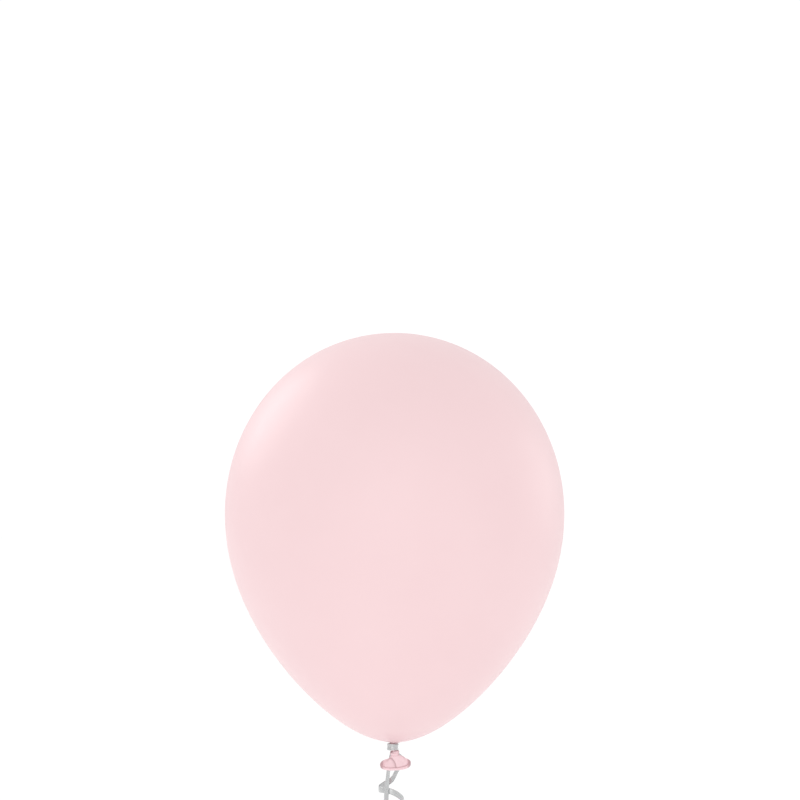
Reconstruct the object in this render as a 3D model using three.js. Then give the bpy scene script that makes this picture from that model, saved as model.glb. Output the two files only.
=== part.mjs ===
// A round latex party balloon, inflated, knotted and tied on curling ribbon.
// Millimetres. +Z runs up the bulb's axis, +X is to the right and +Y is to the back.
// The origin is where the bulb's underside meets the tie.
import * as THREE from 'three';

const { lerp } = THREE.MathUtils;

// ---- Driving dimensions ----------------------------------------------------------------
const BULB_WIDTH = 300;
const BULB_HEIGHT = 362;
const FILM = 0.3; // wall of the bulb's solid, thicker than real film
const GAP = 0.3; // clearance between pieces that touch on the real balloon

const NECK_RADIUS = 3.2; // gathered latex inside the ribbon wrap
const NECK_TOP = 1.5;
const NECK_TIP = { radius: 2.4, round: 1.1, bevel: 0.3 };
const WRAP_TOP = -1.2;
const WRAP_BOTTOM = -6.9;
const WRAP_RADIUS = 5.3;
const WRAP_ROUND = 0.8;

const KNOT_TOP = -7.2; // overhand knot in the latex neck
const KNOT_BOTTOM = -12.2;
const KNOT_RADIUS = 4.1;
const KNOT_CORE = 1.8; // neck inside the knot
const KNOT_TAPER = 0.6; // height over which the neck narrows into the knot

// Flattened flare below the knot. It opens down and to the back, so its rim is tilted.
const SKIRT_TOP = -13.6;
const SKIRT_BOTTOM = -19; // at the two ends of the rim
const SKIRT_WALL = 0.6;
const SKIRT_ROOF = 0.1; // share of the skirt's height that is solid
const SKIRT_TOP_HALF = { width: 3, depth: 0.9 };
const SKIRT_BOTTOM_HALF = { width: 11.5, depth: 3.9 };
const MOUTH_TILT = Math.PI / 3;
const MOUTH_WIDTH = 27; // across the rolled bead
const MOUTH_DEPTH = 10.2; // the same, from front to back in the tilted rim's plane
const BEAD_RADIUS = 1.1;
const BEAD_CENTRE = { y: 0.8, z: -20.7 };

const RIBBON = 5; // ribbon width
const TIE_X = -2; // the ribbon's knot and the hank under it
const TIE_Z = -5.2;
const LEAD_Y = 7.3; // plane in which the long tail hangs, behind the skirt
const RIBBON_KNOT = { x: TIE_X, y: 7.9, z: TIE_Z, width: 6, depth: 4.4, height: 5.2 };

const CURL = { x: -3, y: 21.7, radius: 11.2, top: -24, bottom: -72, bevel: 1.5 };

const HANK_CENTRE = -116;
const HANK_LOBE = 22.9; // outer radius of the two round ends
const HANK_LOBE_OFFSET = 32.9; // from the waist to each end's centre
const HANK_WAIST = 3.3; // half width where the tie holds it
const HANK_DEPTH = 5.6;
const TIE_WALL = 1.1;
const TIE_HEIGHT = 4.5;
const TIE_CORNER = { outside: 1.6, inside: 0.2 };
const RIBBON_END = { x: TIE_X + 22.5, top: -161, bottom: -195 };

const BULB_ROWS = 30;
const BULB_SEGMENTS = 48;
const SMALL_SEGMENTS = 28;
const CURL_SEGMENTS = 32;
const MOUTH_SEGMENTS = 40;
const SECTION_POINTS = { knot: 16, bead: 12 };

// ---- Routes of the two ribbon tails, points chosen by hand -----------------------------
const LEAD_ROUTE = [
  [-2.4, LEAD_Y, -8.5],
  [-2.9, LEAD_Y, -11],
  [-3.5, LEAD_Y, -14],
  [-4.1, LEAD_Y, -17.5],
  [-4.7, LEAD_Y, -21],
  [-5.3, LEAD_Y, -25],
  [-5.8, LEAD_Y, -29],
  [-6.2, LEAD_Y, -33],
  [-6.6, LEAD_Y, -37.5],
  [-6.9, 7.2, -42],
  [-7.2, 6.7, -46],
  [-7.5, 5.8, -50.5],
  [-7.6, 4.9, -55],
  [-7.6, 4.4, -60.3],
];
const STEM_ROUTE = [
  [-0.8, 13, -8.3],
  [0.4, 13.1, -10.5],
  [3, 14, -13.2],
  [5.8, 16.2, -15.8],
  [7.2, 18.6, -18.2],
  [7.6, 20.1, -20.8],
  [7.6, 20.2, CURL.top + GAP],
];

// ---- Materials -------------------------------------------------------------------------
const finish = (color, roughness, metalness) =>
  new THREE.MeshStandardMaterial({ color, roughness, metalness });
const latexFilm = () => finish(0xf9dbdd, 0.42, 0);
const latexThick = () => finish(0xf6c9d0, 0.5, 0);
const ribbon = () => finish(0xd8d9db, 0.3, 0.2);
const plainRibbon = () => finish(0xf1f1ef, 0.4, 0);

// ---- Helpers ---------------------------------------------------------------------------
const balloon = new THREE.Group();

function add(name, geometry, material) {
  const mesh = new THREE.Mesh(geometry, material);
  mesh.name = name;
  balloon.add(mesh);
}

// Revolves [radius, z] points about the Z axis. The outline climbs on its outer side.
function lathe(points, segments) {
  const profile = points.map(([radius, z]) => new THREE.Vector2(radius, z));
  return new THREE.LatheGeometry(profile, segments).rotateX(Math.PI / 2);
}

// Closed ellipse of [radius, z] points for a ring's section.
function ringSection(radius, z, halfWidth, halfHeight, count) {
  return Array.from({ length: count + 1 }, (_, i) => {
    const angle = (2 * Math.PI * (i % count)) / count;
    return [radius + halfWidth * Math.cos(angle), z + halfHeight * Math.sin(angle)];
  });
}

// Flattens a revolved shape front to back: profile point i keeps its half width
// and takes halfDepths[i] as its half depth.
function flatten(geometry, points, halfDepths) {
  const position = geometry.attributes.position;
  for (let i = 0; i < position.count; i += 1) {
    const row = i % points.length;
    const [halfWidth] = points[row];
    const scale = halfWidth > 0 ? halfDepths[row] / halfWidth : 1;
    position.setY(i, position.getY(i) * scale);
  }
  return geometry;
}

// Tilts the rows of a flattened shape about X: profile point i turns by tilts[i] about the
// middle of its own row.
function tilt(geometry, points, tilts) {
  const position = geometry.attributes.position;
  for (let i = 0; i < position.count; i += 1) {
    const row = i % points.length;
    const depth = position.getY(i);
    position.setY(i, depth * Math.cos(tilts[row]));
    position.setZ(i, position.getZ(i) + depth * Math.sin(tilts[row]));
  }
  return geometry;
}

// Ten-sided tube of the ribbon's width along a smooth curve through the points.
function tube(points, steps) {
  const stations = points.map((point) => new THREE.Vector3(...point));
  const route = new THREE.CatmullRomCurve3(stations, false, 'centripetal');
  const section = new THREE.Shape();
  section.absarc(0, 0, RIBBON / 2, 0, 2 * Math.PI, false);
  const options = { steps, extrudePath: route, bevelEnabled: false, curveSegments: 5 };
  return new THREE.ExtrudeGeometry(section, options);
}

// ---- Latex moulding: bulb, neck, knot, skirt and rolled bead ----------------------------

// Outline of the bulb. u is 0 at the neck and 1 at the crown. A fullness of 1 all the way
// up is an ellipse, and less than 1 draws the lower half in towards the neck.
const fullness = (u) => 0.69 + u * (1.04 + u * (-1.09 + 0.44 * u));

function bulbPoint(angle) {
  const u = (1 + Math.cos(angle)) / 2;
  return new THREE.Vector2((BULB_WIDTH / 2) * Math.sin(angle) * fullness(u), BULB_HEIGHT * u);
}

// The inner wall is the outline moved inwards along its own normal.
function innerPoint(angle) {
  const step = 0.001;
  const along = bulbPoint(angle + step).sub(bulbPoint(angle - step)).normalize();
  return bulbPoint(angle).add(new THREE.Vector2(along.y, -along.x).multiplyScalar(FILM));
}

function envelope() {
  const holeRadius = NECK_RADIUS + GAP;
  const lastAngle = Math.PI - Math.asin(holeRadius / ((BULB_WIDTH / 2) * fullness(0)));
  const angles = Array.from({ length: BULB_ROWS }, (_, i) => (lastAngle * (i + 1)) / BULB_ROWS);
  const inner = angles.map((angle) => innerPoint(angle).toArray());
  const outer = angles.map((angle) => bulbPoint(angle).toArray()).reverse();
  return lathe([[0, BULB_HEIGHT - FILM], ...inner, ...outer, [0, BULB_HEIGHT]], BULB_SEGMENTS);
}

function neck() {
  return lathe(
    [
      [0, KNOT_BOTTOM],
      [KNOT_CORE, KNOT_BOTTOM],
      [KNOT_CORE, KNOT_TOP - KNOT_TAPER],
      [NECK_RADIUS, WRAP_BOTTOM],
      [NECK_RADIUS, NECK_TOP - NECK_TIP.round],
      [NECK_TIP.radius, NECK_TOP - NECK_TIP.bevel],
      [0, NECK_TOP],
    ],
    SMALL_SEGMENTS,
  );
}

function latexKnot() {
  const inside = KNOT_CORE + GAP;
  const middle = (KNOT_RADIUS + inside) / 2;
  const centre = (KNOT_TOP + KNOT_BOTTOM) / 2;
  const halfWidth = KNOT_RADIUS - middle;
  const halfHeight = (KNOT_TOP - KNOT_BOTTOM) / 2;
  const section = ringSection(middle, centre, halfWidth, halfHeight, SECTION_POINTS.knot);
  return lathe(section, SMALL_SEGMENTS);
}

// The skirt at t, 0 at its pinched top and 1 at the rim.
const skirtHalfWidth = (t) =>
  lerp(SKIRT_TOP_HALF.width, SKIRT_BOTTOM_HALF.width, Math.sin((t * Math.PI) / 2));
const skirtHalfDepth = (t) => lerp(SKIRT_TOP_HALF.depth, SKIRT_BOTTOM_HALF.depth, t);
const skirtHeight = (t) => lerp(SKIRT_TOP, SKIRT_BOTTOM, t);
const skirtTilt = (t) => MOUTH_TILT * t;

function mouthSkirt() {
  const outerLevels = [1, 0.8, 0.6, 0.4, 0.2, 0];
  const innerLevels = outerLevels.slice(0, -1).reverse();
  const outer = outerLevels.map((t) => [skirtHalfWidth(t), skirtHeight(t)]);
  const inner = innerLevels.map((t) => [skirtHalfWidth(t) - SKIRT_WALL, skirtHeight(t)]);
  const points = [[0, skirtHeight(SKIRT_ROOF)], ...inner, ...outer, [0, SKIRT_TOP]];
  const innerDepths = innerLevels.map((t) => skirtHalfDepth(t) - SKIRT_WALL);
  const halfDepths = [0, ...innerDepths, ...outerLevels.map(skirtHalfDepth), 0];
  const tilts = [0, ...innerLevels, ...outerLevels, 0].map(skirtTilt);
  return tilt(flatten(lathe(points, SMALL_SEGMENTS), points, halfDepths), points, tilts);
}

// A round ring drawn in from front to back, so that its section stays round there, then
// turned to the rim's tilt.
function mouthBead() {
  const halfWidth = MOUTH_WIDTH / 2 - BEAD_RADIUS; // to the middle of the bead
  const points = ringSection(halfWidth, 0, BEAD_RADIUS, BEAD_RADIUS, SECTION_POINTS.bead);
  const drawnIn = (MOUTH_WIDTH - MOUTH_DEPTH) / 2;
  const ring = flatten(lathe(points, MOUTH_SEGMENTS), points, points.map(([r]) => r - drawnIn));
  return ring.rotateX(MOUTH_TILT).translate(0, BEAD_CENTRE.y, BEAD_CENTRE.z);
}

// ---- Ribbon: wrap, knot, long tail with its hank, and curled tail -----------------------

function ribbonWrap() {
  const inside = NECK_RADIUS + GAP;
  return lathe(
    [
      [inside, WRAP_BOTTOM],
      [WRAP_RADIUS - WRAP_ROUND, WRAP_BOTTOM],
      [WRAP_RADIUS, WRAP_BOTTOM + WRAP_ROUND],
      [WRAP_RADIUS, WRAP_TOP - WRAP_ROUND],
      [WRAP_RADIUS - WRAP_ROUND, WRAP_TOP],
      [inside, WRAP_TOP],
      [inside, WRAP_BOTTOM],
    ],
    SMALL_SEGMENTS,
  );
}

function ribbonKnot() {
  const { x, y, z, width, depth, height } = RIBBON_KNOT;
  return new THREE.SphereGeometry(0.5, 20, 12).scale(width, depth, height).translate(x, y, z);
}

function curlCoil() {
  const { x, y, radius, top, bottom, bevel } = CURL;
  return lathe(
    [
      [0, bottom],
      [radius - bevel, bottom],
      [radius, bottom + bevel],
      [radius, top - bevel],
      [radius - bevel, top],
      [0, top],
    ],
    CURL_SEGMENTS,
  ).translate(x, y, 0);
}

// Two round ends joined by a waist: each side of the waist is an arc that curves the
// other way and touches both ends.
function hankOutline() {
  const { PI, atan2 } = Math;
  const d = HANK_LOBE_OFFSET;
  const sideRadius = (d * d + HANK_WAIST ** 2 - HANK_LOBE ** 2) / (2 * (HANK_LOBE - HANK_WAIST));
  const side = sideRadius + HANK_WAIST;
  const touch = atan2(d, side); // slope of the line from a side arc's centre to an end's centre
  const shape = new THREE.Shape();
  shape.absarc(0, d, HANK_LOBE, -touch, PI + touch, false);
  shape.absarc(-side, 0, sideRadius, touch, -touch, true);
  shape.absarc(0, -d, HANK_LOBE, PI - touch, 2 * PI + touch, false);
  shape.absarc(side, 0, sideRadius, PI + touch, PI - touch, true);
  return shape;
}

function ribbonHank() {
  const solid = new THREE.ExtrudeGeometry(hankOutline(), {
    depth: HANK_DEPTH,
    bevelEnabled: false,
    curveSegments: 20,
  });
  return solid.rotateX(Math.PI / 2).translate(TIE_X, LEAD_Y + HANK_DEPTH / 2, HANK_CENTRE);
}

// Draws a rounded rectangle round the origin into path, a Shape or a Path.
function roundedRectangle(path, halfX, halfY, corner) {
  path.absarc(halfX - corner, halfY - corner, corner, 0, Math.PI / 2, false);
  path.absarc(corner - halfX, halfY - corner, corner, Math.PI / 2, Math.PI, false);
  path.absarc(corner - halfX, corner - halfY, corner, Math.PI, 1.5 * Math.PI, false);
  path.absarc(halfX - corner, corner - halfY, corner, 1.5 * Math.PI, 2 * Math.PI, false);
  path.closePath();
  return path;
}

function hankTie() {
  // The hank widens above and below its waist, so the tie's hole clears it at both rims.
  const halfX = HANK_WAIST + 2 * GAP;
  const halfY = HANK_DEPTH / 2 + GAP;
  const { outside, inside } = TIE_CORNER;
  const ring = roundedRectangle(new THREE.Shape(), halfX + TIE_WALL, halfY + TIE_WALL, outside);
  ring.holes.push(roundedRectangle(new THREE.Path(), halfX, halfY, inside));
  const options = { depth: TIE_HEIGHT, bevelEnabled: false, curveSegments: 5 };
  const solid = new THREE.ExtrudeGeometry(ring, options);
  return solid.translate(TIE_X, LEAD_Y, HANK_CENTRE - TIE_HEIGHT / 2);
}

// The cut end hangs from the hank's outer turn, and starts where the hank curves away from it.
function ribbonEnd() {
  const { x, top, bottom } = RIBBON_END;
  return tube([[x, LEAD_Y, top], [x, LEAD_Y, (top + bottom) / 2], [x, LEAD_Y, bottom]], 2);
}

// ---- Assembly --------------------------------------------------------------------------
add('envelope', envelope(), latexFilm());
add('neck', neck(), latexThick());
add('latex_knot', latexKnot(), latexThick());
add('mouth_skirt', mouthSkirt(), latexThick());
add('mouth_bead', mouthBead(), latexThick());
add('ribbon_wrap', ribbonWrap(), ribbon());
add('ribbon_knot', ribbonKnot(), ribbon());
add('ribbon_lead', tube(LEAD_ROUTE, 6), ribbon());
add('ribbon_hank', ribbonHank(), ribbon());
add('hank_tie', hankTie(), plainRibbon());
add('ribbon_end', ribbonEnd(), ribbon());
add('curl_stem', tube(STEM_ROUTE, 5), ribbon());
add('curl_coil', curlCoil(), ribbon());

export default balloon;
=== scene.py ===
"""Looks of a round latex balloon tied on curling ribbon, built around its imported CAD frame.

Metres, in the CAD frame: the origin is at the neck, +Z runs up the bulb and the front is -Y.
"""

import math

import bmesh
import bpy
import numpy as np
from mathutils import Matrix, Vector


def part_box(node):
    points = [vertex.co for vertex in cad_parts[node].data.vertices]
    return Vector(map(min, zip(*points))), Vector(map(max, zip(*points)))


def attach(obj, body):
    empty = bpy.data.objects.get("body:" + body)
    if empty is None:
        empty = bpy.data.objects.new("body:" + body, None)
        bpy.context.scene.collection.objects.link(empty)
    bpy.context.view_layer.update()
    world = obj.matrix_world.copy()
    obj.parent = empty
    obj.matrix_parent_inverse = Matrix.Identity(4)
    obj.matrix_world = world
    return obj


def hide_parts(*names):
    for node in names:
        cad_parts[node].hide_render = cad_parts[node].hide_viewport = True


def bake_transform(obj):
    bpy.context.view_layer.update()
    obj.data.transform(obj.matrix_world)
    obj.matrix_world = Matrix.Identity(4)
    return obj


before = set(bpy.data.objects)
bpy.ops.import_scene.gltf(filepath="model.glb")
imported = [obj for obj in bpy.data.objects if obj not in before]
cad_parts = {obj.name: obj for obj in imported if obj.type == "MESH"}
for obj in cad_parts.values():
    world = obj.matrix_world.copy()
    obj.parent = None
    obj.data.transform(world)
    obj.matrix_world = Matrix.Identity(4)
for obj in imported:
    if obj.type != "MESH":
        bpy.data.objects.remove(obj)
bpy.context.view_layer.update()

MM = 0.001

# ---- Sizes ---------------------------------------------------------------------------

RIBBON_WIDTH = 5 * MM
RIBBON_THICKNESS = 0.16 * MM

FILM_WALL = 0.3 * MM
BULB_LOW, BULB_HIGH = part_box("envelope")
BULB_HEIGHT = BULB_HIGH.z
BULB_RADIUS = (BULB_HIGH.x - BULB_LOW.x) / 2
BULB_FOOT = 9 * MM  # radius where the film starts to turn down into the neck
NECK_RADIUS = 2.7 * MM  # gathered film where it enters the ribbon's turns
NECK_PULL = -0.5 * MM  # along X, towards the ribbon's knot

WRAP_MIDDLE = (-1.7 * MM, 0.4 * MM)  # x and y of the turns, pulled towards the ribbon's knot
WRAP_TURNS = 3
WRAP_LAYER = 0.26 * MM

KNOT_ROPE = 1.32 * MM  # radius of the rolled latex that the knot is tied in

BEAD_LOW, BEAD_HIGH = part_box("mouth_bead")
BEAD_RADIUS = 1.2 * MM
MOUTH_TOP = -11.2 * MM
MOUTH_TILT = math.radians(60)  # the mouth opens down and to the back
MOUTH_MIDDLE = np.array([0.8, 0.2, -19.7]) * MM
MOUTH_HALF_WIDTH = (BEAD_HIGH.x - BEAD_LOW.x) / 2 - BEAD_RADIUS
MOUTH_HALF_DEPTH = 4.8 * MM  # in the rim's own plane
MOUTH_WALL = 0.32 * MM
ROUND_MOUTH = np.linspace(0, 2 * math.pi, 240, endpoint=False)  # 0 at the right, then the back

HITCH_LOW, HITCH_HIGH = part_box("ribbon_knot")
HITCH_CENTRE = (HITCH_LOW + HITCH_HIGH) / 2
HITCH_RADII = (HITCH_HIGH - HITCH_LOW) / 2

HANK_LOW, HANK_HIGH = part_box("ribbon_hank")
HANK_CENTRE = (HANK_LOW + HANK_HIGH) / 2
HANK_TURNS = 5.17
HANK_LOBE_OFFSET = 32.9 * MM  # from the waist to the centre of each round end
HANK_INNER_RADIUS = 12.5 * MM
HANK_LAYER = 2.0 * MM  # between two turns at the round ends
HANK_INNER_WAIST = 0.6 * MM
HANK_WAIST_LAYER = 0.45 * MM

# ---- Routes of the two tails, as in the CAD source --------------------------------------

LEAD_ROUTE = [
    (-0.0024, 0.0073, -0.0085),
    (-0.0029, 0.0073, -0.0110),
    (-0.0035, 0.0073, -0.0140),
    (-0.0041, 0.0073, -0.0175),
    (-0.0047, 0.0073, -0.0210),
    (-0.0053, 0.0073, -0.0250),
    (-0.0058, 0.0073, -0.0290),
    (-0.0062, 0.0073, -0.0330),
    (-0.0066, 0.0073, -0.0375),
    (-0.0069, 0.0072, -0.0420),
    (-0.0072, 0.0067, -0.0460),
    (-0.0075, 0.0058, -0.0505),
    (-0.0076, 0.0049, -0.0550),
    (-0.0076, 0.0044, -0.0603),
]
# Past the lead: in front of the hank's upper end, then in to its waist.
HANK_ENTRY = [
    (-0.0075, 0.0041, -0.0660),
    (-0.0071, 0.0041, -0.0730),
    (-0.0062, 0.0050, -0.0820),
    (-0.0048, 0.0063, -0.0920),
    (-0.0033, 0.0071, -0.1020),
    (-0.0021, 0.0073, -0.1100),
]
STEM_ROUTE = [
    (-0.0008, 0.0130, -0.0083),
    (0.0004, 0.0131, -0.0105),
    (0.0030, 0.0140, -0.0132),
    (0.0058, 0.0162, -0.0158),
    (0.0072, 0.0186, -0.0182),
]
# The curl itself: behind, round to the left, across the front and behind again.
CURL_ROUTE = [
    (0.0081, 0.0218, -0.0203),
    (0.0070, 0.0268, -0.0228),
    (0.0040, 0.0302, -0.0259),
    (0.0014, 0.0318, -0.0296),
    (-0.0006, 0.0323, -0.0334),
    (-0.0032, 0.0322, -0.0370),
    (-0.0086, 0.0306, -0.0402),
    (-0.0128, 0.0268, -0.0424),
    (-0.0142, 0.0217, -0.0434),
    (-0.0126, 0.0162, -0.0439),
    (-0.0086, 0.0124, -0.0442),
    (-0.0030, 0.0109, -0.0450),
    (0.0022, 0.0119, -0.0476),
    (0.0066, 0.0154, -0.0514),
    (0.0082, 0.0212, -0.0556),
    (0.0064, 0.0270, -0.0592),
    (0.0020, 0.0312, -0.0620),
    (-0.0032, 0.0324, -0.0642),
]
CURL_AXIS = (-0.003, 0.0217)


# ---- Small mathematics ------------------------------------------------------------------


def unit(vectors):
    return vectors / np.linalg.norm(vectors, axis=-1, keepdims=True)


def smooth(t):
    t = np.clip(t, 0, 1)
    return t * t * (3 - 2 * t)


def along(path):
    """Distance down a path at each of its points."""
    steps = np.linalg.norm(np.diff(path, axis=0), axis=1)
    return np.concatenate([[0], np.cumsum(steps)])


def tangents(path):
    return unit(np.gradient(path, axis=0))


def spline(points, spacing):
    """Centripetal Catmull-Rom curve through the points, sampled about spacing apart."""
    p = np.array(points, float)
    p = np.vstack([2 * p[0] - p[1], p, 2 * p[-1] - p[-2]])
    knots = np.concatenate([[0], np.cumsum(np.linalg.norm(np.diff(p, axis=0), axis=1) ** 0.5)])
    found = []
    for i in range(1, len(p) - 2):
        k0, k1, k2, k3 = knots[i - 1 : i + 3]
        p0, p1, p2, p3 = p[i - 1 : i + 3]
        count = max(1, math.ceil(np.linalg.norm(p2 - p1) / spacing))
        for k in np.linspace(k1, k2, count, endpoint=False):
            a1 = (k1 - k) / (k1 - k0) * p0 + (k - k0) / (k1 - k0) * p1
            a2 = (k2 - k) / (k2 - k1) * p1 + (k - k1) / (k2 - k1) * p2
            a3 = (k3 - k) / (k3 - k2) * p2 + (k - k2) / (k3 - k2) * p3
            b1 = (k2 - k) / (k2 - k0) * a1 + (k - k0) / (k2 - k0) * a2
            b2 = (k3 - k) / (k3 - k1) * a2 + (k - k1) / (k3 - k1) * a3
            found.append((k2 - k) / (k2 - k1) * b1 + (k - k1) / (k2 - k1) * b2)
    found.append(p[-2])
    return np.array(found)


# ---- Mesh helpers -----------------------------------------------------------------------


def link(name, data, material):
    data.materials.append(material)
    made = bpy.data.objects.new(name, data)
    bpy.context.scene.collection.objects.link(made)
    return made


def skin(name, rings, material, loop=False, tips=None, uv=None, fold_shades=None):
    """Closed surface through rings of points, each ring closed on itself.

    loop joins the last ring to the first. Otherwise each end is closed, by a point of tips
    or by a flat face. uv gives each ring point its place on the Ribbon map, and fold_shades
    says how much painted shade it gets, from 0 to 1, most in a crease.
    """
    count, sides, _ = rings.shape
    points = rings.reshape(-1, 3)
    index = np.arange(count * sides).reshape(count, sides)
    if loop:
        index = np.vstack([index, index[:1]])
    across = np.roll(index, -1, axis=1)
    quads = np.stack([index[:-1], across[:-1], across[1:], index[1:]], axis=-1)
    faces = quads.reshape(-1, 4).tolist()
    if tips is not None:
        first, last = len(points), len(points) + 1
        points = np.vstack([points, tips])
        faces += [[first, b, a] for a, b in zip(index[0], across[0])]
        faces += [[last, a, b] for a, b in zip(index[-1], across[-1])]
    elif not loop:
        faces += [index[0][::-1].tolist(), index[-1].tolist()]

    data = bpy.data.meshes.new(name)
    data.from_pydata(points.tolist(), [], faces)
    if uv is not None:
        layer = data.uv_layers.new(name="Ribbon")
        corners = np.zeros(len(data.loops), np.int32)
        data.loops.foreach_get("vertex_index", corners)
        layer.data.foreach_set("uv", uv.reshape(-1, 2)[corners].astype(np.float32).ravel())
    if fold_shades is not None:
        depth = np.zeros(len(points), np.float32)
        depth[: count * sides] = fold_shades.ravel()
        data.attributes.new("fold_shade", "FLOAT", "POINT").data.foreach_set("value", depth)
    work = bmesh.new()
    work.from_mesh(data)
    bmesh.ops.recalc_face_normals(work, faces=work.faces)
    work.to_mesh(data)
    work.free()
    data.polygons.foreach_set("use_smooth", [True] * len(data.polygons))
    return link(name, data, material)


def strip(name, path, widths, material, width=RIBBON_WIDTH, cup=0.25 * MM, loop=False):
    """Flat ribbon along a path. widths are the directions across it, and cup is how far its
    middle stands above its edges."""
    way = tangents(path)
    if loop:
        way = unit(np.roll(path, -1, axis=0) - np.roll(path, 1, axis=0))
    side = unit(widths - way * (widths * way).sum(1, keepdims=True))
    face = np.cross(way, side)
    q = np.linspace(-1, 1, 9)
    q = np.concatenate([q, q[::-1]])
    half = np.repeat([0.5, -0.5], len(q) // 2) * RIBBON_THICKNESS
    lift = half + cup * (1 - q * q)
    broad = np.broadcast_to(np.asarray(width, float) / 2, len(path))
    rings = (
        path[:, None]
        + side[:, None] * q[None, :, None] * broad[:, None, None]
        + face[:, None] * lift[None, :, None]
    )
    distance = along(path)
    uv = np.stack(np.broadcast_arrays(q[None] / 2 + 0.5, distance[:, None]), axis=-1)
    return skin(name, rings, material, loop=loop, uv=uv)


def tube(name, path, radius, material, sides=24, loop=False, ripple=None, fold_shades=None):
    """Round piece along a path. radius is one number or one per point, ripple(angle,
    distance) scales it round and along the piece, and fold_shades(points) says how much
    painted crease shade each point gets."""
    way = tangents(path)
    if loop:
        way = unit(np.roll(path, -1, axis=0) - np.roll(path, 1, axis=0))
    start = np.cross(way[0], [0.3, 0.5, 0.8])
    side = [unit(start)]
    for direction in way[1:]:
        side.append(unit(side[-1] - direction * side[-1].dot(direction)))
    side = np.array(side)
    other = np.cross(way, side)
    angle = np.linspace(0, 2 * math.pi, sides, endpoint=False)
    size = np.broadcast_to(np.asarray(radius, float), len(path))[:, None]
    if ripple is not None:
        size = size * ripple(angle[None], along(path)[:, None])
    size = np.broadcast_to(size, (len(path), sides))[..., None]
    turn = np.cos(angle)[None, :, None] * side[:, None] + np.sin(angle)[None, :, None] * other[:, None]
    rings = path[:, None] + size * turn
    return skin(name, rings, material, loop=loop, fold_shades=None if fold_shades is None else fold_shades(rings))


# ---- Materials --------------------------------------------------------------------------


class Nodes:
    """A material's node tree with short calls for what the materials below need."""

    def __init__(self, name):
        self.material = bpy.data.materials.new(name)
        self.material.use_nodes = True
        self.tree = self.material.node_tree
        self.shader = self.tree.nodes["Principled BSDF"]

    def add(self, kind, **settings):
        node = self.tree.nodes.new(kind)
        for key, value in settings.items():
            setattr(node, key, value)
        return node

    def join(self, source, target):
        self.tree.links.new(source, target)

    def set(self, **values):
        for key, value in values.items():
            self.shader.inputs[key.replace("_", " ")].default_value = value

    def place(self):
        """Where the surface is, in the CAD frame."""
        return self.add("ShaderNodeTexCoord").outputs["Object"]

    def noise(self, scale, detail=2.0, roughness=0.5, stretch=(1, 1, 1)):
        mapping = self.add("ShaderNodeMapping")
        mapping.inputs["Scale"].default_value = stretch
        self.join(self.place(), mapping.inputs["Vector"])
        node = self.add("ShaderNodeTexNoise")
        node.inputs["Scale"].default_value = scale
        node.inputs["Detail"].default_value = detail
        node.inputs["Roughness"].default_value = roughness
        self.join(mapping.outputs["Vector"], node.inputs["Vector"])
        return node.outputs["Fac"]

    def height(self, low, high, to_low=0.0, to_high=1.0):
        """A share that goes from to_low to to_high between two heights."""
        axes = self.add("ShaderNodeSeparateXYZ")
        self.join(self.place(), axes.inputs["Vector"])
        return self.range(axes.outputs["Z"], low, high, to_low, to_high, smooth=True)

    def range(self, value, low, high, to_low, to_high, smooth=False):
        node = self.add("ShaderNodeMapRange")
        if smooth:
            node.interpolation_type = "SMOOTHSTEP"
        for key, number in zip(("From Min", "From Max", "To Min", "To Max"), (low, high, to_low, to_high)):
            node.inputs[key].default_value = number
        self.join(value, node.inputs["Value"])
        return node.outputs["Result"]

    def mix(self, share, first, second):
        node = self.add("ShaderNodeMix", data_type="RGBA")
        self.join(share, node.inputs["Factor"])
        for socket, value in ((node.inputs["A"], first), (node.inputs["B"], second)):
            if isinstance(value, tuple):
                socket.default_value = (*value, 1)
            else:
                self.join(value, socket)
        return node.outputs["Result"]

    def bump(self, value, strength, distance, before=None):
        node = self.add("ShaderNodeBump")
        node.inputs["Strength"].default_value = strength
        node.inputs["Distance"].default_value = distance
        self.join(value, node.inputs["Height"])
        if before is not None:
            self.join(before, node.inputs["Normal"])
        return node.outputs["Normal"]

    def finish(self, colour=None, roughness=None, normal=None):
        for value, socket in ((colour, "Base Color"), (roughness, "Roughness"), (normal, "Normal")):
            if value is not None:
                self.join(value, self.shader.inputs[socket])
        return self.material


def latex_film():
    """Stretched pastel latex: satin, nearly opaque, and deeper where it is less stretched."""
    n = Nodes("latex_film")
    n.set(Specular_IOR_Level=0.26)
    pale, fuller, deep = (0.82, 0.612, 0.626), (0.808, 0.598, 0.613), (0.775, 0.525, 0.555)
    film = n.mix(n.range(n.noise(11, 3, 0.55), 0.3, 0.7, 0, 1), pale, fuller)
    film = n.mix(n.height(-2 * MM, 14 * MM, 0.55, 0), film, deep)
    film = n.mix(n.height(BULB_HEIGHT - 3 * MM, BULB_HEIGHT, 0, 0.35), film, deep)
    rough = n.range(n.noise(60, 4, 0.6), 0.25, 0.75, 0.36, 0.44)
    fine = n.bump(n.noise(1400, 2, 0.5), 0.06, 0.05 * MM)
    slow = n.bump(n.noise(26, 2, 0.5), 0.05, 1 * MM, fine)
    return n.finish(film, rough, slow)


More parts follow.
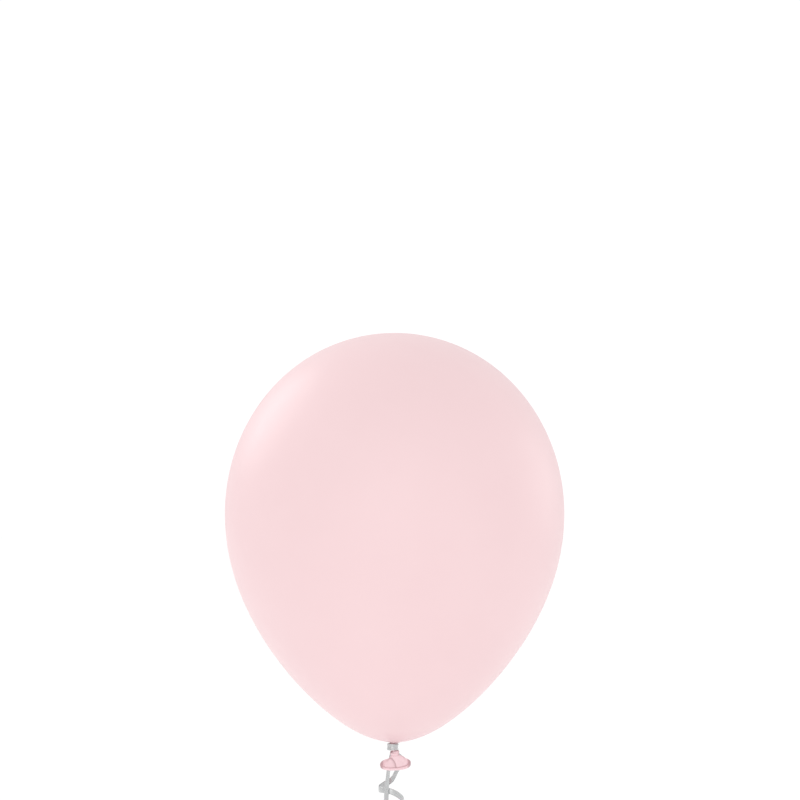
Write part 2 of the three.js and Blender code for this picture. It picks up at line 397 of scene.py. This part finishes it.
def latex_thick():
    """Unstretched latex of the knot and mouth: matt, with fine drawn wrinkles, and a painted
    shade, darker and greyer, in its creases, by the mouth's rim and at the sides of the knot
    and bead."""
    n = Nodes("latex_thick")
    n.set(Specular_IOR_Level=0.35)
    # The third colour is painted shade for creases and edges, not a tone of the latex.
    pale, fuller, crease_shade_colour = (0.84, 0.635, 0.665), (0.82, 0.595, 0.63), (0.44, 0.27, 0.29)
    colour = n.mix(n.range(n.noise(420, 3, 0.6), 0.3, 0.7, 0, 1), pale, fuller)
    # Painted shade: the mesh attribute read here mixes in that darker colour.
    fold_shades = n.add("ShaderNodeAttribute", attribute_name="fold_shade").outputs["Fac"]
    colour = n.mix(fold_shades, colour, crease_shade_colour)
    rough = n.range(n.noise(900, 3, 0.6), 0.25, 0.75, 0.42, 0.58)
    wrinkles = n.bump(n.noise(700, 3, 0.6, (1.6, 1.6, 0.35)), 0.25, 0.2 * MM)
    return n.finish(colour, rough, n.bump(n.noise(4200, 2, 0.5), 0.1, 0.05 * MM, wrinkles))


def ribbon_material(name, light, dark):
    """Curling ribbon: fine ribs along its length, with a satin gloss."""
    ribs_across = 17
    streak_scale = (14, 160, 1)  # across the ribbon, and per metre along it
    n = Nodes(name)
    n.set(Metallic=0.65, Specular_IOR_Level=0.5, Coat_Weight=0.3, Coat_Roughness=0.14)
    place = n.add("ShaderNodeUVMap", uv_map="Ribbon").outputs["UV"]
    axes = n.add("ShaderNodeSeparateXYZ")
    n.join(place, axes.inputs["Vector"])
    turn = n.add("ShaderNodeMath", operation="MULTIPLY")
    turn.inputs[1].default_value = 2 * math.pi * ribs_across
    n.join(axes.outputs["X"], turn.inputs[0])
    ribs = n.add("ShaderNodeMath", operation="SINE")
    n.join(turn.outputs[0], ribs.inputs[0])
    streaks = n.add("ShaderNodeTexNoise")
    streaks.inputs["Scale"].default_value = 1.0
    stretched = n.add("ShaderNodeMapping")
    stretched.inputs["Scale"].default_value = streak_scale
    n.join(place, stretched.inputs["Vector"])
    n.join(stretched.outputs["Vector"], streaks.inputs["Vector"])
    colour = n.mix(n.range(streaks.outputs["Fac"], 0.3, 0.7, 0, 1), light, dark)
    rough = n.range(streaks.outputs["Fac"], 0.3, 0.7, 0.2, 0.32)
    return n.finish(colour, rough, n.bump(ribs.outputs[0], 0.18, 0.04 * MM))


FILM = latex_film()
THICK = latex_thick()
RIBBON = ribbon_material("curling_ribbon", (0.53, 0.54, 0.54), (0.47, 0.48, 0.485))
TIE = ribbon_material("tie_ribbon", (0.73, 0.73, 0.72), (0.67, 0.67, 0.66))


# ---- Camera -----------------------------------------------------------------------------


def camera():
    """Level view along +Y, with the balloon low in the picture and the tails running out of it."""
    seen_width = 0.708  # of the plane through the balloon's axis
    distance = 3.5
    data = bpy.data.cameras.new("camera")
    data.sensor_width = 36
    data.lens = data.sensor_width * distance / seen_width
    data.clip_end = 60
    made = bpy.data.objects.new("camera", data)
    made.location = (0.0048, -distance, 0.3026)
    made.rotation_euler = (math.pi / 2, 0, 0)
    bpy.context.scene.collection.objects.link(made)
    bpy.context.scene.camera = made


camera()


# ---- Ribbon -----------------------------------------------------------------------------


def hank_outline(radius, waist):
    """Arcs of one turn of the hank, clockwise from the right side of its waist: centre x and
    z, radius, first and last angle. Two round ends, and sides that curve in to the waist."""
    d = HANK_LOBE_OFFSET
    side = (d * d + waist * waist - radius * radius) / (2 * (radius - waist))
    across = side + waist
    touch = math.atan2(d, across)
    pi = math.pi
    return [
        (across, 0, side, pi, pi + touch),
        (0, -d, radius, touch, -pi - touch),
        (-across, 0, side, -touch, touch),
        (0, d, radius, pi + touch, -touch),
        (across, 0, side, pi - touch, pi),
    ]


def hank_point(turn):
    """The ribbon's centreline after so many turns from the waist, winding outwards."""
    arcs = hank_outline(HANK_INNER_RADIUS + HANK_LAYER * turn, HANK_INNER_WAIST + HANK_WAIST_LAYER * turn)
    lengths = [radius * abs(last - first) for _, _, radius, first, last in arcs]
    left = (turn % 1) * sum(lengths)
    for (x, z, radius, first, last), length in zip(arcs, lengths):
        if left <= length:
            angle = first + (last - first) * left / length
            break
        left -= length
    loose = 0.25 * MM * math.sin(2 * math.pi * 1.37 * turn)
    return (
        HANK_CENTRE.x + x + radius * math.cos(angle),
        HANK_CENTRE.y + loose,
        HANK_CENTRE.z + z + radius * math.sin(angle),
    )


def long_tail():
    """The long tail: lead, hank and hanging end, one ribbon from the knot to its cut end."""
    inside_knot = [(-0.0020, 0.0082, -0.0046), (-0.0021, 0.0077, -0.0066)]
    per_turn = 40
    turns = [hank_point(turn) for turn in np.arange(0, HANK_TURNS, 1 / per_turn)]
    end_low, end_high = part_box("ribbon_end")
    last = hank_point(HANK_TURNS)
    hanging = np.linspace((last[0], last[2]), ((end_low.x + end_high.x) / 2, end_low.z), 8)
    tail = [(x, HANK_CENTRE.y, z) for x, z in hanging]
    head = inside_knot + LEAD_ROUTE + HANK_ENTRY
    spacing = 1.4 * MM

    path = spline(head + turns + tail, spacing)
    # The ribbon turns slowly about its own line. Angle across it, from +X, by height.
    heights = [-195, -110, -100, -88, -76, -62, -52, -26, -8, 0]
    angles = [-90, -90, -80, -48, -8, 4, 35, 52, 64, 66]
    head_length = along(spline(head + turns[:1], spacing))[-1]
    twist = np.interp(path[:, 2] / MM, heights, angles)
    twist = np.radians(np.where(along(path) < head_length, twist, -90))
    widths = np.stack([np.cos(twist), np.sin(twist), np.zeros(len(path))], axis=1)
    piece = strip("long_tail", path, widths, RIBBON)
    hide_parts("ribbon_lead", "ribbon_hank", "ribbon_end")
    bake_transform(piece)
    return piece, path


def curled_tail():
    """The short tail, drawn over a blade so that it curls."""
    inside_knot = [(-0.0016, 0.0092, -0.0056), (-0.0013, 0.0112, -0.0068)]
    path = spline(inside_knot + STEM_ROUTE + CURL_ROUTE, 0.7 * MM)
    outwards = path - np.array([*CURL_AXIS, 0])
    outwards[:, 2] = 0
    widths = np.cross(unit(outwards), tangents(path))
    # Between the knot and the first turn the ribbon is seen half edge on.
    twist = np.radians(np.interp(path[:, 2] / MM, [-43, -38, -33, -25, -18], [0, -24, -32, -28, 0]))
    faces = np.cross(widths, tangents(path))
    widths = widths * np.cos(twist)[:, None] + faces * np.sin(twist)[:, None]
    piece = strip("curled_tail", path, widths, RIBBON, cup=0.2 * MM)
    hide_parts("curl_stem", "curl_coil")
    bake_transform(piece)
    return piece, path


def ribbon_turns():
    """The ribbon's turns round the neck, each a little askew."""
    low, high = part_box("ribbon_wrap")
    outer = (high.x - low.x) / 2
    start = math.radians(95)  # both ends lie behind, under the ribbon's knot
    angle = np.linspace(start, start + 2 * math.pi * WRAP_TURNS, 240)
    turn = (angle - start) / (2 * math.pi)
    radius = outer - 0.8 * MM + WRAP_LAYER * turn
    middle = (low.z + high.z) / 2 - 0.2 * MM
    askew = 0.45 * MM * np.sin(angle - 0.6 + 1.9 * turn)
    x = WRAP_MIDDLE[0] + radius * np.cos(angle)
    y = WRAP_MIDDLE[1] + radius * np.sin(angle)
    path = np.stack([x, y, middle + askew], axis=1)
    widths = np.stack([0 * angle, 0 * angle, np.ones_like(angle)], axis=1)
    piece = strip("ribbon_turns", path, widths, RIBBON, cup=-0.45 * MM)
    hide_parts("ribbon_wrap")
    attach(piece, "balloon")


def hugging_band(name, size, axis, half_width, phase, material):
    """A closed band of ribbon that lies on the hitch's ellipsoid, wound about axis."""
    axis = unit(np.array(axis, float))
    first = unit(np.cross(axis, [0.2, 1, 0.1]))
    second = np.cross(axis, first)
    angle = np.linspace(0, 2 * math.pi, 72, endpoint=False) + phase
    q = np.linspace(-1, 1, 9)
    way = (
        np.cos(angle)[:, None, None] * first
        + np.sin(angle)[:, None, None] * second
        + (q * half_width)[None, :, None] * axis
    )
    way = unit(way)
    radii = np.array(HITCH_RADII)
    reach = 1 / np.sqrt(((way / radii) ** 2).sum(-1, keepdims=True))
    half_wall = 0.03  # as a share of the hitch's size, like size itself
    outer, inner = (np.array(HITCH_CENTRE) + way * reach * s for s in (size + half_wall, size - half_wall))
    rings = np.concatenate([outer, inner[:, ::-1]], axis=1)
    across = np.concatenate([q, q[::-1]]) / 2 + 0.5
    distance = (angle - phase) * radii.mean()
    uv = np.stack(np.broadcast_arrays(across[None], distance[:, None]), axis=-1)
    return skin(name, rings, material, loop=True, uv=uv)


def ribbon_hitch():
    """The ribbon's own knot behind the neck: crossed bands drawn tight over each other."""
    bands = [
        ("hitch_core", 0.80, (1, 0.1, 0.2), 1.4),
        ("hitch_middle", 0.89, (0.35, 0.1, 1), 0.75),
        ("hitch_outer", 0.98, (-0.75, 0.2, 0.8), 0.62),
    ]
    for i, (name, size, axis, half_width) in enumerate(bands):
        piece = hugging_band(name, size, axis, half_width, 0.7 * i, RIBBON)
        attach(piece, "tie_knot")
        if name == "hitch_core":
            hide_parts("ribbon_knot")


def hank_band():
    """A short band of plain ribbon, wound round the hank's waist with its end lapped over."""
    low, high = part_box("hank_tie")
    half = (high - low) / 2 - Vector((0.9, 0.9, 0)) * MM
    centre = (low + high) / 2
    count, start = 2.15, math.radians(-60)
    angle = np.linspace(start, start + 2 * math.pi * count, 200)
    turn = (angle - start) / (2 * math.pi)
    square = 0.6  # a rounded rectangle
    x = np.sign(np.cos(angle)) * np.abs(np.cos(angle)) ** square * half.x
    y = np.sign(np.sin(angle)) * np.abs(np.sin(angle)) ** square * half.y
    swell = 1 + 0.06 * turn
    askew = 0.35 * MM * np.sin(angle + 2.3 * turn)
    path = np.stack([centre.x + x * swell, centre.y + y * swell, centre.z + askew], axis=1)
    widths = np.stack([0 * angle, 0 * angle, np.ones_like(angle)], axis=1)
    piece = strip("hank_band", path, widths, TIE, width=high.z - low.z, cup=-0.15 * MM)
    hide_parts("hank_tie")
    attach(piece, "lead")
    return piece


tail, tail_path = long_tail()
curl, curl_path = curled_tail()
band = hank_band()
ribbon_turns()
ribbon_hitch()


# ---- Latex ------------------------------------------------------------------------------


def fullness(u):
    """The CAD's outline: how full the bulb is against an ellipse, from the neck to the crown."""
    return 0.69 + u * (1.04 + u * (-1.09 + 0.44 * u))


def bulb_outline(angle):
    """Radius and height. angle is 0 at the crown and pi at the neck."""
    u = (1 + np.cos(angle)) / 2
    return BULB_RADIUS * np.sin(angle) * fullness(u), BULB_HEIGHT * u


def bulb():
    """The inflated film: a thin shell whose foot gathers in pleats and enters the ribbon."""
    columns = 180
    angle = np.linspace(0, math.pi, 170)[1:]
    radius, height = bulb_outline(angle)
    above_foot = (angle < math.pi / 2) | (radius > BULB_FOOT)
    radius, height = radius[above_foot], height[above_foot]
    foot = np.linspace(BULB_FOOT, NECK_RADIUS, 16)
    foot_height = height[-1] * (foot / BULB_FOOT) ** 2
    turned_down = ((BULB_FOOT - foot) / (BULB_FOOT - NECK_RADIUS)) ** 2.6 * 1.3 * MM
    foot_height = foot_height - turned_down
    inside_wrap = np.linspace(foot_height[-1] - 0.4 * MM, -4.5 * MM, 6)
    radius = np.concatenate([radius, foot, np.full(len(inside_wrap), NECK_RADIUS)])
    height = np.concatenate([height, foot_height, inside_wrap])

    slope = unit(np.stack([np.gradient(radius), np.gradient(height)], axis=1))
    out_r, out_z = -slope[:, 1], slope[:, 0]
    round_angle = np.linspace(0, 2 * math.pi, columns, endpoint=False)
    pleats = (
        0.5 * np.cos(11 * round_angle + 0.4)
        + 0.3 * np.cos(17 * round_angle + 2.1 + 0.8 * np.sin(2 * round_angle))
        + 0.2 * np.cos(7 * round_angle + 4.0)
    )
    depth = 0.34 * MM * smooth((20 * MM - radius) / (16 * MM)) * (height < BULB_HEIGHT / 2)
    pulled = NECK_PULL * smooth((1 * MM - height[:, None]) / (3 * MM))

    def ring_set(inset):
        push = pleats[None] * depth[:, None] - inset
        r = radius[:, None] + out_r[:, None] * push
        z = height[:, None] + out_z[:, None] * push
        return np.stack([r * np.cos(round_angle) + pulled, r * np.sin(round_angle), z], axis=-1)

    rings = np.concatenate([ring_set(0), ring_set(FILM_WALL)[::-1]])
    tips = [(0, 0, BULB_HEIGHT), (0, 0, BULB_HEIGHT - FILM_WALL)]
    piece = skin("bulb", rings, FILM, tips=tips)
    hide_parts("envelope")
    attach(piece, "balloon")


def neck_gather():
    """The film pinched shut inside the ribbon, down to the knot."""
    heights = np.array([-0.8, -2, -3.2, -4.4, -5.6, -6.6, -7.4, -8.2]) * MM
    widths = np.array([2.5, 2.8, 2.8, 2.8, 2.8, 2.9, 2.8, 2.3]) * MM
    path = np.stack([0 * heights + NECK_PULL, 0 * heights, heights], axis=1)
    piece = tube(
        "neck_gather",
        path,
        widths,
        THICK,
        sides=96,
        ripple=lambda a, d: 1 + 0.06 * np.cos(11 * a + 60 * d) + 0.04 * np.cos(17 * a + 1),
    )
    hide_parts("neck")
    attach(piece, "balloon")


def overhand_knot():
    """The neck's own overhand knot: a soft rope of latex wound tight on itself."""
    low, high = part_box("latex_knot")
    outer = (high.x - low.x) / 2 - KNOT_ROPE
    count, start = 1.85, math.radians(-150)
    share = np.linspace(0, 1, 150)
    angle = start + 2 * math.pi * count * share
    shown = smooth(share / 0.14) * smooth((1 - share) / 0.14)  # 0 where an end is tucked in
    radius = outer * (0.45 + 0.55 * shown)
    top, bottom = high.z - KNOT_ROPE - 0.1 * MM, low.z + KNOT_ROPE
    height = top + (bottom - top) * smooth(share) + 0.6 * MM * np.sin(angle + 0.4)
    path = np.stack([radius * np.cos(angle), radius * np.sin(angle) * 0.94, height], axis=1)
    piece = tube(
        "overhand_knot",
        path,
        KNOT_ROPE * (0.75 + 0.25 * shown),
        THICK,
        sides=60,
        ripple=lambda a, d: 1 + 0.05 * np.cos(7 * a + 300 * d) + 0.035 * np.cos(12 * a - 500 * d),
        # Painted shade on the knot's left and right sides.
        fold_shades=lambda p: 0.5 * smooth((np.abs(p[..., 0]) - 2.4 * MM) / (1.6 * MM)),
    )
    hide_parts("latex_knot")
    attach(piece, "balloon")


def mouth_rim(size=1.0):
    """The middle of the bead, a flattened ring tilted down at the front."""
    share, across = np.cos(ROUND_MOUTH), np.sin(ROUND_MOUTH)
    blunt = 0.78  # 1 is an ellipse, and less fills out its corners
    along_tilt = MOUTH_HALF_DEPTH * np.sign(across) * np.abs(across) ** blunt
    x = MOUTH_HALF_WIDTH * np.sign(share) * np.abs(share) ** blunt
    y = along_tilt * math.cos(MOUTH_TILT) - 0.3 * MM * np.cos(2 * ROUND_MOUTH)
    z = along_tilt * math.sin(MOUTH_TILT) + 0.06 * x
    return MOUTH_MIDDLE + size * np.stack([x, y, z], axis=1)


def mouth_section(t):
    """The flare's section at t, 0 at the knot and 1 at the bead, and how much painted shade each
    point gets, in the crease under the lap, by the rim, at the sides and below the knot. The
    right half is one sheet with the neck and laps over the left half."""
    a = ROUND_MOUTH
    share = np.cos(a)
    neck = np.stack([2.9 * share - 0.3, 2.1 * np.sin(a), 0 * a], axis=1) * MM
    neck[:, 2] = MOUTH_TOP
    rim = mouth_rim(0.94)
    # The right side rounds out early and the left side late.
    spread = (0.5 * t + 0.5 * math.sin(math.pi * t / 2)) ** (1.15 - 0.3 * share)
    drop = t ** (1.15 + 0.4 * share)
    x = neck[:, 0] + (rim[:, 0] - neck[:, 0]) * spread
    y = neck[:, 1] + (rim[:, 1] - neck[:, 1]) * t
    z = neck[:, 2] + (rim[:, 2] - neck[:, 2]) * drop
    pleats = 0.22 * MM * np.cos(13 * a + 1.0) * (1 - t) ** 1.5
    hollow = 0.5 * MM * math.sin(math.pi * t)
    y = y + (pleats - hollow) * np.sin(a) + 0.25 * MM * t * (1 - t) * np.sin(5 * a)

    front = smooth(-np.sin(a) / 0.4)
    crease = (1.7 - 7.4 * (1 - t) ** 2.2) * MM
    reach = 1.5 * MM
    q = (x - crease) / reach
    grown = smooth(t / 0.16)
    fading = 1 - 0.8 * smooth((t - 0.82) / 0.18)
    lapped = x - 1.5 * reach * q * np.exp(-q * q) * front * grown * fading
    in_front = smooth((q + 0.9) / 1.8) * (1 - smooth((x - 2 * MM) / (9 * MM)))
    y = y - 1.15 * MM * in_front * front * grown * fading

    # Painted shade: in the crease under the lap, along the rim, below the knot and at the two sides.
    tucked = np.exp(-((q + 0.55) ** 2) / 0.5) * front * grown * fading
    at_rim = smooth((t - 0.86) / 0.1)
    at_knot = 0.12 * (1 - smooth(t / 0.2))
    at_sides = 0.45 * smooth((np.abs(share) - 0.86) / 0.14) * (1 - smooth((t - 0.3) / 0.4))
    fold_shades = np.clip(0.8 * tucked + 0.7 * at_rim + at_knot + at_sides, 0, 1)
    return np.stack([lapped, y, z], axis=1), fold_shades


def mouth_flare():
    """The flared mouth as a thin sheet, lapped and folded over in front, with painted shade in its
    creases.
    """
    sections = [mouth_section(t) for t in np.linspace(0, 1, 48)]
    outer = np.array([section for section, _ in sections])
    # Painted shade per point, kept for both sides of the sheet.
    fold_shades = np.array([fold_shade for _, fold_shade in sections])
    down = np.gradient(outer, axis=0)
    across = np.roll(outer, -1, axis=1) - np.roll(outer, 1, axis=1)
    inwards = unit(np.cross(across, down))
    centre = outer.mean(axis=1, keepdims=True)
    facing = np.sign(((centre - outer) * inwards).sum(-1).mean())
    inner = (outer + inwards * facing * MOUTH_WALL)[::-1]
    rings = np.concatenate([outer, inner])
    both_fold_shades = np.concatenate([fold_shades, fold_shades[::-1]])
    piece = skin("mouth_flare", rings, THICK, loop=True, fold_shades=both_fold_shades)
    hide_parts("mouth_skirt")
    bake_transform(piece)


def mouth_roll():
    """The rolled bead round the mouth's edge, fuller at its two ends."""
    piece = tube(
        "mouth_roll",
        mouth_rim(),
        BEAD_RADIUS * (1 + 0.12 * np.cos(ROUND_MOUTH) ** 4),
        THICK,
        sides=28,
        loop=True,
        ripple=lambda a, d: 1 + 0.04 * np.sin(300 * d) - 0.1 * np.exp(-(((a - 4.2) / 0.3) ** 2)),
        # Painted shade towards the bead's two ends.
        fold_shades=lambda p: 0.8 * smooth((np.abs(p[..., 0] - MOUTH_MIDDLE[0]) - 9.6 * MM) / (2.8 * MM)),
    )
    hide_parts("mouth_bead")
    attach(piece, "mouth")


bulb()
neck_gather()
overhand_knot()
mouth_flare()
mouth_roll()


# ---- Stage and light --------------------------------------------------------------------


def floor():
    """A white floor well below the tails."""
    height = -0.30
    data = bpy.data.meshes.new("floor")
    work = bmesh.new()
    bmesh.ops.create_circle(work, cap_ends=True, segments=96, radius=14)
    work.to_mesh(data)
    work.free()
    paint = bpy.data.materials.new("floor")
    paint.use_nodes = True
    shader = paint.node_tree.nodes["Principled BSDF"]
    shader.inputs["Base Color"].default_value = (0.93, 0.93, 0.93, 1)
    shader.inputs["Emission Color"].default_value = (1, 1, 1, 1)
    shader.inputs["Emission Strength"].default_value = 0.08
    shader.inputs["Roughness"].default_value = 0.9
    shader.inputs["Specular IOR Level"].default_value = 0.1
    made = link("floor", data, paint)
    made.location.z = height


def area_light(name, place, target, size, watts):
    data = bpy.data.lights.new(name, "AREA")
    data.shape = "DISK"
    data.size = size
    data.energy = watts
    made = bpy.data.objects.new(name, data)
    made.location = place
    made.rotation_euler = (Vector(target) - Vector(place)).to_track_quat("-Z", "Y").to_euler()
    bpy.context.scene.collection.objects.link(made)


def lighting():
    """A white studio, a little brighter above, to the front and to the right, with a softbox in
    front and one behind to either side."""
    world = bpy.data.worlds.new("studio")
    world.use_nodes = True
    bpy.context.scene.world = world
    tree = world.node_tree
    studio = tree.nodes["Background"]
    facing = tree.nodes.new("ShaderNodeVectorMath")
    facing.operation = "DOT_PRODUCT"
    facing.inputs[1].default_value = (0.4, -0.6, 0.7)  # towards the studio's brightest side
    tree.links.new(tree.nodes.new("ShaderNodeTexCoord").outputs["Generated"], facing.inputs[0])
    strength = tree.nodes.new("ShaderNodeMapRange")
    strength.inputs["From Min"].default_value = -1
    strength.inputs["To Min"].default_value = 0.83
    strength.inputs["To Max"].default_value = 1.08
    tree.links.new(facing.outputs["Value"], strength.inputs["Value"])
    tree.links.new(strength.outputs["Result"], studio.inputs["Strength"])
    studio.inputs["Color"].default_value = (1, 1, 1, 1)
    backdrop = tree.nodes.new("ShaderNodeBackground")
    backdrop.inputs["Strength"].default_value = 1.05
    backdrop.inputs["Color"].default_value = (1, 1, 1, 1)
    seen = tree.nodes.new("ShaderNodeMixShader")
    tree.links.new(tree.nodes.new("ShaderNodeLightPath").outputs["Is Camera Ray"], seen.inputs["Fac"])
    tree.links.new(studio.outputs["Background"], seen.inputs[1])
    tree.links.new(backdrop.outputs["Background"], seen.inputs[2])
    tree.links.new(seen.outputs["Shader"], tree.nodes["World Output"].inputs["Surface"])

    middle = (0, 0, 0.18)
    area_light("left_back", (-1.35, 0.95, 1.2), middle, 1.25, 9)
    area_light("right_back", (1.6, 0.9, 0.5), middle, 0.9, 2.5)
    area_light("front", (-0.25, -2.2, 0.25), middle, 1.3, 4.0)
    bpy.context.scene.view_settings.view_transform = "Standard"


floor()
lighting()
